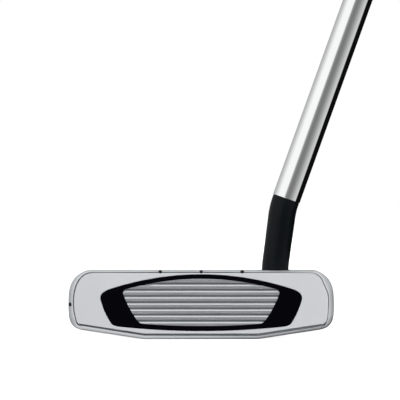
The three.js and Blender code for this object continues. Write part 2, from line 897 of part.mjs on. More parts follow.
add("crown_plate", crownPlate(), blackAnodised);
add("sight_line", sightLine(), whiteEnamel);
add("core_foam", coreFoam(), foam);
add("sole_plate", solePlate(), blackAnodised);
const addScrews = (prefix, screws) =>
  screws.forEach((screw, i) => {
    const mesh = add(`${prefix}_${i + 1}`, countersunkScrew(), weightSteel);
    mesh.position.copy(screw.position);
    mesh.rotation.x = screw.tilt;
  });
addScrews("crown_screw", CROWN_SCREWS);
addScrews("sole_screw", SOLE_SCREWS);

["toe", "centre", "heel"].forEach((place, i) =>
  add(`sight_dot_${place}`, sightDot(i - 1), blackEnamel),
);
add("toe_port_plug", toePlug(), blackEnamel);

for (const [place, side] of [
  ["toe", -1],
  ["heel", 1],
]) {
  add(`${place}_sole_weight`, soleWeight(side), weightSteel);
  add(`${place}_weight_seal`, weightSeal(side), seal);
  add(`${place}_ballast`, ballast(side), tungsten);
}

add("neck", neck(), blackSteel);
add("neck_bolt", neckBolt(), weightSteel);
putter.add(shaftGroup);
add("shaft", shaft(), chrome, shaftGroup);
add("grip_tape", gripTape(), tape, shaftGroup);
add("grip", grip(), rubber, shaftGroup);
add("grip_cap", gripCap(), rubber, shaftGroup);

export default putter;
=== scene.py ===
"""A mallet putter standing at address in a plain white studio, seen square to its face.

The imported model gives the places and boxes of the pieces. This script adds the fine surfaces: rounded edges,
the milled face, the beams of the insert, the bent neck, the chromed shaft, the moulded grip, and what
everything is made of. Shapes are drawn in millimetres and become metres when their mesh is made.
"""

import json
import math

import bmesh
import bpy
from mathutils import Matrix, Vector
from mathutils.geometry import tessellate_polygon

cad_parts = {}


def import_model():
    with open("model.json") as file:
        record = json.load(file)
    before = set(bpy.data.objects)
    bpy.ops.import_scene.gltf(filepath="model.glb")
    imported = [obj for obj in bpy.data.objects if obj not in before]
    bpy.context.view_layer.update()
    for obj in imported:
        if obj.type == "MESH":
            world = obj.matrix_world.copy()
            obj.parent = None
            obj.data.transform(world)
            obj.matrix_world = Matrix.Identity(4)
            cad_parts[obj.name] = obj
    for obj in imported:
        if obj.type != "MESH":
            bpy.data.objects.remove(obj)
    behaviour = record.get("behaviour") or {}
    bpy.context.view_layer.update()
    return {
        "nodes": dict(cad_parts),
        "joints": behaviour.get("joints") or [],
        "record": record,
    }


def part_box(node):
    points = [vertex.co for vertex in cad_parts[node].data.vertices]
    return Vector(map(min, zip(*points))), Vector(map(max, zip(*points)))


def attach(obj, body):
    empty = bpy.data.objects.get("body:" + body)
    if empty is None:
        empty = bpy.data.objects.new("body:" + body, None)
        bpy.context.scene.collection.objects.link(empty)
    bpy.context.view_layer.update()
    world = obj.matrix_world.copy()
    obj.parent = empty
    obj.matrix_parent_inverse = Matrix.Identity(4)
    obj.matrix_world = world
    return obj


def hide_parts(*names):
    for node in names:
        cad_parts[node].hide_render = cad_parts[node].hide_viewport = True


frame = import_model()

MM = 0.001
SCENE = bpy.context.scene


# ---------- what the frame says ----------


def box_mm(node):
    low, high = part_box(node)
    return low / MM, high / MM


def middle_mm(node):
    low, high = box_mm(node)
    return (low + high) / 2


def joint(name):
    return next(j for j in frame["joints"] if j["name"] == name)


def mount(name):
    return next(m for m in frame["record"]["mounts"] if m["name"] == name)


def span_mm(node, point, axis):
    """How far the node reaches along an axis, measured from a point on it."""
    along = [(v.co / MM - point).dot(axis) for v in frame["nodes"][node].data.vertices]
    return min(along), max(along)


HEAD_LOW, HEAD_HIGH = box_mm("head_frame")
FACE_Y = HEAD_LOW.y
CROWN_Z = HEAD_HIGH.z
LOFT = math.radians(3)
SOLE_FLAT_HALF = 21.4  # the sole is flat this far to each side
SOLE_RISE = math.radians(8.6)  # and then rises to heel and toe
REAR_RISE_START_Y = 45.5
REAR_RISE = math.radians(16)
BLADE_BACK_Y = -10.0
DECK_Z = 21.0  # height of the deck where it meets the bar
DECK_FALL = 4 / 64
CROWN_THICKNESS = 1.4
PORT_RADIUS = 7.0
PORT_DEPTH = 6.4
WELD = 0.002  # points nearer than this become one

SHAFT_AXIS = Vector(mount("grip_hold")["axis"]).normalized()
SHAFT_FOOT = Vector((32.08, -25.0, 52.8))
SHAFT_END = span_mm("shaft", SHAFT_FOOT, SHAFT_AXIS)[1]


# ---------- outlines ----------


def curve_points(p, steps):
    """Points along a straight, quadratic or cubic stretch, without its first point."""
    if len(p) == 2:
        return [p[1]]
    out = []
    for i in range(1, steps + 1):
        t = i / steps
        level = p
        while len(level) > 1:
            level = [a.lerp(b, t) for a, b in zip(level, level[1:])]
        out.append(level[0])
    return out


def open_outline(start, stretches, steps=20):
    """A list of 2-D points from a start and stretches of two, four or six coordinates: a line, a quadratic
    curve or a cubic one."""
    points = [Vector(start)]
    for s in stretches:
        control = [points[-1]] + [Vector(s[i : i + 2]) for i in range(0, len(s), 2)]
        points += curve_points(control, steps)
    return points


def mirrored(start, stretches, steps=20):
    """A closed outline, anticlockwise, from its +X half, which runs from centre line to centre line."""
    half = open_outline(start, stretches, steps)
    other = [Vector((-p.x, p.y)) for p in reversed(half[1:-1])]
    if abs(half[-1].x) > 1e-6:
        other.insert(0, Vector((-half[-1].x, half[-1].y)))
    return half + other


def offset(points, inset):
    """A closed anticlockwise outline moved inwards (or outwards if negative), corner by corner."""
    if not inset:
        return list(points)
    out = []
    for before, p, after in zip(points[-1:] + points[:-1], points, points[1:] + points[:1]):
        a = (p - before).normalized()
        b = (after - p).normalized()
        normal = Vector((-(a.y + b.y), a.x + b.x))
        share = max(0.35, normal.length_squared / 2)
        out.append(p + normal * (inset / share))
    return out


def body_outline():
    """The bar from the front: its outer edge."""
    return mirrored(
        (0, 0),
        [
            (SOLE_FLAT_HALF, 0),
            (44.4, (44.4 - SOLE_FLAT_HALF) * math.tan(SOLE_RISE)),
            (47.8, 4, 49.6, 5.5, 49.9, 9),
            (50.08, 11.2, 50.12, 13.6, 50.0, 16),
            (49.95, 21.9, 46.5, CROWN_Z, 41.9, CROWN_Z),
            (0, CROWN_Z),
        ],
    )


FACE_SOLE_Z = 2.3
FACE_CROWN_Z = CROWN_Z - 0.75
# Where the face's edge at the heel differs from the one at the toe: height, spread and distance inwards.
HEEL_CORNERS = [(20.5, 2.5, 0.55), (7.5, 2.0, -0.3)]


def face_outline():
    """The flat face inside the lip."""
    outline = mirrored(
        (0, FACE_SOLE_Z),
        [
            (SOLE_FLAT_HALF, FACE_SOLE_Z),
            (44.9, FACE_SOLE_Z + (44.9 - SOLE_FLAT_HALF) * math.tan(SOLE_RISE)),
            (46, 5.9, 46.6, 6.3, 46.85, 7.6),
            (47.45, 9.6, 47.85, 12.6, 47.65, 15.6),
            (47.3, 20.6, 45, FACE_CROWN_Z, 40.6, FACE_CROWN_Z),
            (0, FACE_CROWN_Z),
        ],
    )
    for p in outline:
        if p.x > 30:
            p.x -= sum(inwards * math.exp(-(((p.y - z) / size) ** 2)) for z, size, inwards in HEEL_CORNERS)
    return outline


def insert_outline(gap=0.0):
    return mirrored(
        (0, 3.16 + gap),
        [
            (16, 3.16 + gap, 31 - gap, 4.85 + gap),
            (33.2 - gap, 5.1 + gap, 33.9 - gap, 6.2 + gap),
            (36.4 - gap, 10, 37.7 - gap, 14.6),
            (38.3 - gap, 16.5, 37.3 - gap, 17.7 - gap, 34.7 - gap, 18.75 - gap),
            (17.5, 24.4 - gap, 0, 24.4 - gap),
        ],
    )


def window_outline(gap=0.0):
    return mirrored(
        (0, 5.08 + gap),
        [
            (12, 5.08 + gap, 21.5 - gap, 5.85 + gap),
            (23.2 - gap, 6 + gap, 23.9 - gap, 6.95 + gap),
            (27.2 - gap, 11.3, 29.3 - gap, 17 - gap),
            (29.6 - gap, 18.3 - gap, 28.3 - gap, 18.85 - gap),
            (14, 22.78 - gap, 0, 22.78 - gap),
        ],
    )


def plan_outline():
    """The head from above, without its openings."""
    return mirrored(
        (0, -20),
        [
            (45, -20),
            (45, -12),
            (43, -8, 42.2, -4, 42.8, 2),
            (43.8, 12, 49.4, 20, 49.4, 33),
            (49.4, 42, 48.4, 50, 43, 52.6),
            (38, 55, 30.5, 54.6, 26.5, 51.5),
            (22, 48, 19, 42.5, 12, 42.5),
            (0, 42.5),
        ],
    )


def window_hole(side):
    """The opening between bar, spine and wing, from above, at the heel (1) or the toe (-1)."""
    points = open_outline(
        (14.5, 2),
        [
            (14.5, -0.5, 16, -2, 18.5, -2),
            (22, -2, 28, -2, 31, -2),
            (34.5, -2, 35.2, 0, 35.6, 3),
            (36.3, 9, 38.6, 14, 39.6, 19),
            (40.2, 23, 38.5, 25.5, 35.5, 26.6),
            (30, 28.6, 27.5, 31, 25, 34),
            (23.4, 36, 21.5, 36.4, 19, 36.4),
            (16, 36.4, 14.5, 35, 14.5, 32),
        ],
    )
    return [Vector((side * p.x, p.y)) for p in points]


def crown_outline(gap):
    """The crown plate from above, smaller all round by a gap."""
    return mirrored(
        (0, -8.6 + gap),
        [
            (29, -8.6 + gap),
            (31 - gap, -8.6 + gap, 31 - gap, -6.2),
            (31 - gap, -3.6 - gap, 29, -3.6 - gap),
            (18, -3.6 - gap),
            (12.4 - gap, -3.6 - gap, 11.6 - gap, 3),
            (11.6 - gap, 34.5),
            (11.6 - gap, 38 - gap, 8.5, 38 - gap),
            (0, 38 - gap),
        ],
    )


def rounded_box(low, high, radius):
    """A rectangle with round corners, from its low and high corners."""
    middle = (low[0] + high[0]) / 2
    half = (high[0] - low[0]) / 2
    shape = mirrored(
        (0, low[1]),
        [
            (half - radius, low[1]),
            (half, low[1], half, low[1] + radius),
            (half, high[1] - radius),
            (half, high[1], half - radius, high[1]),
            (0, high[1]),
        ],
        steps=8,
    )
    return [Vector((p.x + middle, p.y)) for p in shape]


# ---------- meshes ----------


def make(name, points, faces):
    """An object from points in millimetres."""
    mesh = bpy.data.meshes.new(name)
    mesh.from_pydata([p * MM for p in points], [], faces)
    mesh.validate()
    obj = bpy.data.objects.new(name, mesh)
    SCENE.collection.objects.link(obj)
    return obj


def clean(obj):
    """Welds what touches and turns every face outwards."""
    bm = bmesh.new()
    bm.from_mesh(obj.data)
    bmesh.ops.remove_doubles(bm, verts=bm.verts, dist=WELD * MM)
    bmesh.ops.recalc_face_normals(bm, faces=bm.faces)
    bm.to_mesh(obj.data)
    bm.free()
    return obj


def loft(name, rings, closed=False):
    """A skin over rings of equally many points. It has a flat cap at each end unless it closes on itself."""
    n = len(rings[0])
    points = [p for ring in rings for p in ring]
    faces = []
    last = len(rings) if closed else len(rings) - 1
    for s in range(last):
        a, b = s * n, (s + 1) % len(rings) * n
        faces += [(a + i, a + (i + 1) % n, b + (i + 1) % n, b + i) for i in range(n)]
    if not closed:
        faces.append(tuple(reversed(range(n))))
        faces.append(tuple(range(last * n, last * n + n)))
    return clean(make(name, points, faces))


def slab(name, loops, profile):
    """A plate with holes. The first loop is its edge and the rest are holes. The profile gives (inset, z)
    from the bottom to the top, so its ends can be rounded over."""
    loops = [loop if signed_area(loop) > 0 else loop[::-1] for loop in loops]
    points, faces = [], []
    rows = []
    for inset, z in profile:
        row = []
        for k, loop in enumerate(loops):
            moved = offset(loop, inset if k == 0 else -inset)
            row.append((len(points), len(moved)))
            points += [Vector((p.x, p.y, z)) for p in moved]
        rows.append(row)
    for low, high in zip(rows, rows[1:]):
        for (a, n), (b, _) in zip(low, high):
            faces += [(a + i, a + (i + 1) % n, b + (i + 1) % n, b + i) for i in range(n)]
    for row in (rows[0], rows[-1]):
        rings = [points[start : start + n] for start, n in row]
        index = [start + i for start, n in row for i in range(n)]
        faces += [tuple(index[i] for i in t) for t in tessellate_polygon(rings)]
    return clean(make(name, points, faces))


def signed_area(loop):
    return sum(a.x * b.y - b.x * a.y for a, b in zip(loop, loop[1:] + loop[:1])) / 2


def rounded(low, high, radius, steps=4, both=True):
    """A slab's profile from low to high with its top edge rounded over, and its bottom edge too if both."""
    turn = [i / steps * math.pi / 2 for i in range(steps + 1)]
    bottom = [(radius * (1 - math.sin(a)), low + radius * (1 - math.cos(a))) for a in turn]
    top = [(radius * (1 - math.cos(a)), high - radius * (1 - math.sin(a))) for a in turn]
    return (bottom if both else [(0, low)]) + top


def lathe(name, profile, matrix=Matrix(), sides=48):
    """A solid turned round Z from (radius, z) pairs that run from axis to axis, or closed like a tube."""
    tube = all(r > 0 for r, z in profile)
    turns = [2 * math.pi * i / sides for i in range(sides)]
    rings = []
    for r, z in profile:
        r = max(r, 1e-4)
        rings.append([Vector((r * math.cos(a), r * math.sin(a), z)) for a in turns])
    return placed(loft(name, rings, closed=tube), matrix)


def placed(obj, matrix):
    """Moves the mesh by a matrix in millimetres."""
    moved = matrix.copy()
    moved.translation = matrix.translation * MM
    obj.data.transform(moved)
    obj.data.update()
    return obj


def turned(origin, start, end):
    """A matrix that turns one direction into another and puts its origin at a point."""
    matrix = start.rotation_difference(end).to_matrix().to_4x4()
    matrix.translation = origin
    return matrix


def warp(obj, where):
    """Moves each vertex to where(point), in millimetres."""
    for v in obj.data.vertices:
        v.co = where(v.co / MM) * MM
    obj.data.update()
    return obj


def split(obj, point, normal):
    """Adds edges where a plane crosses the mesh, so that it can bend there."""
    bm = bmesh.new()
    bm.from_mesh(obj.data)
    parts = bm.verts[:] + bm.edges[:] + bm.faces[:]
    bmesh.ops.bisect_plane(bm, geom=parts, plane_co=point * MM, plane_no=normal)
    bm.to_mesh(obj.data)
    bm.free()


def baked(obj):
    """Makes the object's modifiers part of its mesh."""
    graph = bpy.context.evaluated_depsgraph_get()
    mesh = bpy.data.meshes.new_from_object(obj.evaluated_get(graph))
    obj.modifiers.clear()
    old = obj.data
    obj.data = mesh
    bpy.data.meshes.remove(old)
    return obj


def combine(obj, tool, operation):
    modifier = obj.modifiers.new("combine", "BOOLEAN")
    modifier.operation = operation
    modifier.solver = "MANIFOLD"
    modifier.object = tool
    baked(obj)
    bpy.data.objects.remove(tool)
    return obj


def cut(obj, *tools):
    for tool in tools:
        combine(obj, tool, "DIFFERENCE")
    return obj


def smooth(obj, angle):
    """Smooth shading that breaks at edges sharper than the angle, and keeps flat faces flat."""
    mesh = obj.data
    mesh.polygons.foreach_set("use_smooth", [True] * len(mesh.polygons))
    mesh.set_sharp_from_angle(angle=math.radians(angle))
    modifier = obj.modifiers.new("flat faces stay flat", "WEIGHTED_NORMAL")
    modifier.keep_sharp = True
    modifier.weight = 70


def finish_piece(obj, name, node, body, slot, angle=28):
    """Names a piece, gives it its slot's look and ties it to the frame."""
    obj.name = name
    obj.data.name = name
    obj.data.materials.clear()
    obj.data.materials.append(SLOT_LOOKS[slot])
    smooth(obj, angle)
    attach(obj, body)
    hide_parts(node)


LEAN = Matrix(((1, 0, 0, 0), (0, 1, math.tan(LOFT), 0), (0, 0, 1, 0), (0, 0, 0, 1)))


def front_slab(name, loops, profile):
    """A slab drawn in the face plane. Its profile runs from the back to the front, as (inset, distance in
    front of the leading edge), and it leans back with the loft."""
    obj = slab(name, loops, profile)
    upright = Matrix(((1, 0, 0, 0), (0, 0, -1, FACE_Y), (0, 1, 0, 0), (0, 0, 0, 1)))
    return placed(obj, LEAN @ upright)


def deck_z(y):
    return DECK_Z - DECK_FALL * (y - BLADE_BACK_Y)


def on_deck(obj):
    """Tips a slab drawn round z = 0 onto the deck."""
    return warp(obj, lambda p: Vector((p.x, p.y, p.z + deck_z(p.y))))


# ---------- materials ----------


class Look:
    """A small helper that builds one material's nodes."""

    def __init__(self, name, color, roughness, metallic=0.0, **constants):
        self.material = bpy.data.materials.new(name)
        self.material.use_nodes = True
        self.tree = self.material.node_tree
        self.shader = self.tree.nodes["Principled BSDF"]
        self.color = color
        self.roughness = roughness
        self.set("Base Color", (*color, 1))
        self.set("Roughness", roughness)
        self.set("Metallic", metallic)
        for socket, value in constants.items():
            self.set(socket.replace("_", " "), value)
        self.place = self.node("ShaderNodeTexCoord").outputs["Object"]

    def node(self, kind, **values):
        """A new node with some of its settings or inputs filled in."""
        made = self.tree.nodes.new(kind)
        for key, value in values.items():
            if hasattr(made, key):
                setattr(made, key, value)
            else:
                made.inputs[key].default_value = value
        return made

    def link(self, a, b):
        self.tree.links.new(a, b)

    def set(self, socket, value):
        self.shader.inputs[socket].default_value = value

    def scaled(self, scale):
        """Object coordinates stretched by a factor for each axis."""
        mapping = self.node("ShaderNodeMapping")
        mapping.inputs["Scale"].default_value = scale
        self.link(self.place, mapping.inputs["Vector"])
        return mapping.outputs["Vector"]

    def noise(self, scale, detail, stretch=(1, 1, 1)):
        """Noise of about `scale` cells a metre, finer or coarser along each axis by a factor."""
        noise = self.node("ShaderNodeTexNoise", Scale=scale, Detail=detail)
        self.link(self.scaled(stretch), noise.inputs["Vector"])
        return noise.outputs["Fac"]

    def band(self, value, low, high):
        """The middle range of a noise value spread over low to high."""
        ends = {"From Min": 0.3, "From Max": 0.7, "To Min": low, "To Max": high}
        span = self.node("ShaderNodeMapRange", **ends)
        self.link(value, span.inputs["Value"])
        return span.outputs["Result"]

    def vary_color(self, value, amount):
        """Makes the colour a little darker and lighter with a value."""
        mix = self.node("ShaderNodeMix", data_type="RGBA")
        dark = [c * (1 - amount) for c in self.color]
        light = [min(1, c * (1 + amount)) for c in self.color]
        factor, first, second, mixed_color = mix.inputs[0], mix.inputs[6], mix.inputs[7], mix.outputs[2]
        first.default_value = (*dark, 1)
        second.default_value = (*light, 1)
        self.link(self.band(value, 0, 1), factor)
        self.link(mixed_color, self.shader.inputs["Base Color"])
        return self

    def vary_roughness(self, value, amount):
        low, high = self.roughness - amount, self.roughness + amount
        self.link(self.band(value, low, high), self.shader.inputs["Roughness"])
        return self

    def bump(self, value, depth_mm):
        """Adds relief of a real depth."""
        bump = self.node("ShaderNodeBump", Strength=1.0, Distance=depth_mm * MM)
        self.link(value, bump.inputs["Height"])
        self.link(bump.outputs["Normal"], self.shader.inputs["Normal"])
        return self

    def clear_from_behind(self):
        """Lets the back of each face be seen through, so that a floor doesn't hide what stands on it."""
        clear = self.node("ShaderNodeBsdfTransparent")
        mix = self.node("ShaderNodeMixShader")
        self.link(self.node("ShaderNodeNewGeometry").outputs["Backfacing"], mix.inputs[0])
        self.link(self.shader.outputs[0], mix.inputs[1])
        self.link(clear.outputs[0], mix.inputs[2])
        self.link(mix.outputs[0], self.tree.nodes["Material Output"].inputs["Surface"])


def satin_silver():
    look = Look("satin_silver", (0.70, 0.72, 0.74), 0.45, 0.22)
    look.vary_color(look.noise(60, 4), 0.025)
    look.vary_roughness(look.noise(900, 3), 0.05)
    return look.bump(look.noise(5200, 2), 0.012).material


def insert_polymer():
    look = Look("insert_polymer", (0.0012, 0.001, 0.002), 0.5, 0.0, Specular_IOR_Level=0.03)
    look.vary_roughness(look.noise(700, 3), 0.08)
    return look.bump(look.noise(4000, 2), 0.01).material


def beam_aluminium():
    look = Look("beam_aluminium", (0.8, 0.82, 0.84), 0.3, 0.95)
    grain = look.noise(900, 4, stretch=(0.06, 1, 6))
    look.vary_color(grain, 0.06)
    look.vary_roughness(grain, 0.06)
    return look.bump(grain, 0.003).material


def black_steel():
    look = Look("black_steel", (0.0045, 0.0062, 0.0072), 0.4, 0.0, Specular_IOR_Level=0.12)
    look.vary_color(look.noise(150, 4), 0.12)
    look.vary_roughness(look.noise(600, 3), 0.05)
    return look.bump(look.noise(3200, 3), 0.012).material


def black_anodised():
    look = Look("black_anodised", (0.022, 0.023, 0.026), 0.4, 0.6)
    grain = look.noise(1200, 3, stretch=(1, 0.05, 1))
    look.vary_color(grain, 0.14)
    look.vary_roughness(grain, 0.07)
    return look.bump(grain, 0.005).material


def chrome():
    look = Look("chrome", (0.93, 0.935, 0.94), 0.045, 1.0)
    look.vary_color(look.noise(25, 2), 0.012)
    look.vary_roughness(look.noise(140, 5), 0.018)
    return look.bump(look.noise(90, 2, stretch=(1, 1, 0.2)), 0.002).material


def plain_steel():
    look = Look("plain_steel", (0.50, 0.51, 0.52), 0.32, 1.0)
    grain = look.noise(2600, 4)
    look.vary_color(look.noise(300, 3), 0.06)
    look.vary_roughness(grain, 0.07)
    return look.bump(grain, 0.004).material


def ballast_metal():
    look = Look("ballast_metal", (0.23, 0.235, 0.25), 0.55, 1.0)
    look.vary_color(look.noise(800, 4), 0.12)
    return look.bump(look.noise(1800, 4), 0.03).material


def white_enamel():
    look = Look("white_enamel", (0.86, 0.86, 0.84), 0.38)
    look.vary_color(look.noise(200, 3), 0.015)
    return look.bump(look.noise(500, 2), 0.006).material


def black_enamel():
    look = Look("black_enamel", (0.004, 0.004, 0.005), 0.4, 0.0, Specular_IOR_Level=0.2)
    look.vary_roughness(look.noise(1200, 3), 0.06)
    return look.bump(look.noise(3000, 2), 0.004).material


def paper_film(name, color):
    look = Look(name, color, 0.8)
    crepe = look.noise(700, 5, stretch=(1, 1, 3))
    look.vary_color(crepe, 0.06)
    return look.bump(crepe, 0.05).material


def damping_foam():
    look = Look("damping_foam", (0.15, 0.155, 0.13), 0.95)
    cells = look.node("ShaderNodeTexVoronoi", Scale=1400)
    look.link(look.place, cells.inputs["Vector"])
    look.vary_color(cells.outputs["Distance"], 0.25)
    return look.bump(cells.outputs["Distance"], 0.2).material


def seal_rubber():
    look = Look("seal_rubber", (0.17, 0.014, 0.012), 0.6)
    look.vary_color(look.noise(500, 3), 0.1)
    return look.bump(look.noise(2400, 3), 0.02).material


def grip_rubber():
    look = Look("grip_rubber", (0.018, 0.0185, 0.02), 0.68, 0.0, Specular_IOR_Level=0.4)
    look.vary_color(look.noise(120, 5), 0.25)
    look.vary_roughness(look.noise(90, 4), 0.08)
    return look.bump(look.noise(2600, 4), 0.03).material


# One look for each material slot of the record.
SLOT_LOOKS = {
    "satin_silver": satin_silver(),
    "insert_polymer": insert_polymer(),
    "beam_aluminium": beam_aluminium(),
    "black_steel": black_steel(),
    "black_anodised": black_anodised(),
    "chrome_steel": chrome(),
    "plain_steel": plain_steel(),
    "ballast_metal": ballast_metal(),
    "white_enamel": white_enamel(),
    "black_enamel": black_enamel(),
    "bond_film": paper_film("bond_film", (0.62, 0.58, 0.44)),
    "grip_tape": paper_film("grip_tape", (0.62, 0.56, 0.40)),
    "damping_foam": damping_foam(),
    "seal_rubber": seal_rubber(),
    "grip_rubber": grip_rubber(),
}


# ---------- the head ----------

# The lip's rounding is a superellipse of this power: 2 is a circle's, and less is nearer to a bevel.
LIP_POWER_BELOW = 2.4
LIP_POWER_BESIDE = 1.35
LIP_DEPTH_BELOW = 2.2
LIP_DEPTH_BESIDE = 3.4
LIP_STEPS = 10
LIP_START = 0.11  # the margin beyond the groove where the lip begins
GROOVE_WIDTH = 0.44
GROOVE_WIDTH_BELOW = 0.89
# Groove and margins take at most this share of the way from the face's outline to the body's.
REACH_LIMIT = 0.62
# The groove between face and lip: margin, share of the groove's width, and depth behind the face.
GROOVE = [
    (0, 0, 0),
    (0.03, 0, 0.02),
    (0.05, 0, 0.1),
    (0.05, 0.1, 4),
    (0.05, 0.9, 4),
    (0.05, 1, 0.24),
    (LIP_START, 1, 0.14),
]


def mixed(a, b, t):
    return [p.lerp(q, t) for p, q in zip(a, b)]


def leaned(outline, depths):
    """An outline of the face as points in space, each at its depth behind the leaning face plane."""
    return [Vector((p.x, FACE_Y + depth + p.y * math.tan(LOFT), p.y)) for p, depth in zip(outline, depths)]


def blade():
    """The thick front bar: a flat face, a fine groove round it, a rounded lip and edge, and straight sides.

    Under the face, groove and lip also change from toe to heel: towards the heel the groove is wider, and the
    lip is deeper and nearer to a bevel.
    """
    face, body = face_outline(), body_outline()
    outward = [(q - p).normalized() for p, q in zip(face, body)]
    below = [max(0, -n.y) for n in outward]
    beside = [n.x**2 for n in outward]
    to_heel = [max(-1, min(1, p.x / 40)) * down for p, down in zip(face, below)]
    wider, narrower_at_heel, less_power, deeper = 0.15, 0.2, 0.9, 0.8
    widths = [
        GROOVE_WIDTH + (GROOVE_WIDTH_BELOW - GROOVE_WIDTH) * down + wider * h - narrower_at_heel * max(0, n.x)
        for n, down, h in zip(outward, below, to_heel)
    ]
    powers = [
        (LIP_POWER_BELOW - less_power * h) * (1 - side) + LIP_POWER_BESIDE * side
        for side, h in zip(beside, to_heel)
    ]
    lip_depths = [
        LIP_DEPTH_BELOW + (LIP_DEPTH_BESIDE - LIP_DEPTH_BELOW) * side + deeper * h
        for side, h in zip(beside, to_heel)
    ]

    def out_from_face(margin, share):
        """The face's outline moved out by a margin and a share of the groove's width."""
        reach = [margin + share * width for width in widths]
        return [p.lerp(q, min(REACH_LIMIT, r / (q - p).length)) for p, q, r in zip(face, body, reach)]

    rings = [leaned(out_from_face(margin, share), [depth] * len(face)) for margin, share, depth in GROOVE]
    lip = out_from_face(LIP_START, 1)
    lip_start_depth = GROOVE[-1][-1]
    for i in range(1, LIP_STEPS + 1):
        a = i / LIP_STEPS * math.pi / 2
        outline = [p.lerp(q, math.sin(a) ** (2 / power)) for p, q, power in zip(lip, body, powers)]
        shares = [1 - math.cos(a) ** (2 / power) for power in powers]
        depths = [lip_start_depth + full * share for full, share in zip(lip_depths, shares)]
        rings.append(leaned(outline, depths))
    rounding, inwards, steps = 1.8, 0.85, 6
    for i in range(steps + 1):
        a = i / steps * math.pi / 2
        y = BLADE_BACK_Y - rounding + rounding * math.sin(a)
        rings.append([Vector((p.x, y, p.y)) for p in mixed(body, face, inwards * (1 - math.cos(a)))])
    return loft("blade", rings)


def sole_z(x, y):
    """Height of the sole: flat in the middle, rising to heel and toe, and at the back."""
    sideways = max(0, abs(x) - SOLE_FLAT_HALF) * math.tan(SOLE_RISE)
    return max(sideways, (y - REAR_RISE_START_Y) * math.tan(REAR_RISE), 0)


def rear_crease(side):
    """Across the line where the rise to heel or toe meets the rise at the back."""
    return Vector((side * math.tan(SOLE_RISE), -math.tan(REAR_RISE), 0)).normalized()


def wings():
    """Spine and wings, rounded over at their top and bottom edges and bent to the sole and the deck."""
    height = 20
    obj = slab("wings", [plan_outline(), window_hole(1), window_hole(-1)], rounded(0, height, 1.2, steps=5))
    for side in (1, -1):
        split(obj, Vector((side * SOLE_FLAT_HALF, 0, 0)), Vector((1, 0, 0)))
        split(obj, Vector((side * SOLE_FLAT_HALF, REAR_RISE_START_Y, 0)), rear_crease(side))

    def bent(p):
        low, high = sole_z(p.x, p.y), deck_z(p.y)
        return Vector((p.x, p.y, low + p.z * (high - low) / height))

    return warp(obj, bent)


def drill(radius, start, end, sides=40):
    """A round cutter between two points."""
    axis = end - start
    turn = axis.to_track_quat("Z", "Y").to_matrix().to_4x4()
    turn.translation = start
    return lathe("drill", [(0, 0), (radius, 0), (radius, axis.length), (0, axis.length)], turn, sides)


def port_matrix(place):
    """A weight port's frame: its origin is on the sole and Z runs into the head."""
    hinge = joint(f"{place}_weight_turn")
    inwards = -Vector(hinge["axis"]).normalized()
    return turned(Vector(hinge["pos_m"]) / MM, Vector((0, 0, 1)), inwards)


def port_cutter(place):
    """The hole for a weight, with a bevel at its mouth."""
    outside, bevel = -6, 0.5
    profile = [
        (0, outside),
        (PORT_RADIUS + bevel, outside),
        (PORT_RADIUS + bevel, -0.02),
        (PORT_RADIUS, bevel),
        (PORT_RADIUS, PORT_DEPTH),
        (0, PORT_DEPTH),
    ]
    return lathe("port", profile, port_matrix(place), 64)


def head_frame():
    """The milled head: bar, spine and wings in one, with the pockets and holes for what goes into it."""
    head = combine(blade(), wings(), "UNION")
    pocket = front_slab("pocket", [insert_outline(-0.02)], [(0, -4.4), (0, -0.12), (-0.2, 0.08), (-0.2, 3)])
    socket_radius, bevel, above = 5.2, 0.4, 40
    socket = lathe(
        "socket",
        [
            (0, NECK_FOOT.z),
            (socket_radius, NECK_FOOT.z),
            (socket_radius, CROWN_Z - bevel / 2),
            (socket_radius + bevel, CROWN_Z + bevel / 2),
            (socket_radius + bevel, above),
            (0, above),
        ],
        Matrix.Translation((NECK_FOOT.x, NECK_FOOT.y, 0)),
        64,
    )
    bolt_hole = drill(3.5, Vector((NECK_FOOT.x, NECK_FOOT.y, -5)), Vector((NECK_FOOT.x, NECK_FOOT.y, 5.4)))
    crown_floor = -CROWN_THICKNESS - 0.05
    crown = on_deck(
        slab("crown_recess", [crown_outline(0.2)], [(0, crown_floor), (0, -0.15), (-0.3, 0.15), (-0.3, 6)])
    )
    plate_low, plate_high = box_mm("sole_plate")
    gap = Vector((0.1, 0.1))
    plate = slab(
        "sole_recess",
        [rounded_box(plate_low.xy - gap, plate_high.xy + gap, 3)],
        [(-0.3, -5), (-0.3, -0.15), (0, 0.15), (0, 1.45)],
    )
    return cut(head, pocket, socket, bolt_hole, crown, plate, port_cutter("toe"), port_cutter("heel"))


def neck_foot():
    """The lower end of the neck's axis, which the bolt shares."""
    axis = middle_mm("neck_bolt")
    return Vector((axis.x, axis.y, box_mm("neck")[0].z))


NECK_FOOT = neck_foot()
finish_piece(head_frame(), "head", "head_frame", "putter", "satin_silver")


# ---------- the face insert ----------


def insert_body():
    """The polymer surround: flush with the face, softly rounded at its rim and at the window."""
    return front_slab(
        "insert",
        [insert_outline(), window_outline()],
        [(0, -4.2), (0, -0.3), (0.05, -0.16), (0.16, -0.12)],
    )


BEAM_TOP_Z = 22.72
BEAM_PITCH = 2.32
# How far the land and the back are in front of the leading edge.
BEAM_LAND = -0.12
BEAM_BACK = -2.4


def beam_section(top, above):
    """A beam's outline from the side, as (distance in front of the leading edge, z). A short facet looks up,
    a flat land looks at the ball, and a longer facet looks down and meets the next beam. The first beam goes
    on above its top, where the window cuts it off."""
    low = top - BEAM_PITCH + 0.004
    return [
        (BEAM_BACK, top + above),
        (BEAM_LAND - (0 if above else 0.3), top + above),
        (BEAM_LAND - 0.03, top - 0.33),
        (BEAM_LAND, top - 0.38),
        (BEAM_LAND, top - 1.4),
        (BEAM_LAND - 0.04, top - 1.48),
        (BEAM_LAND - 0.5, low),
        (BEAM_BACK, low),
    ]


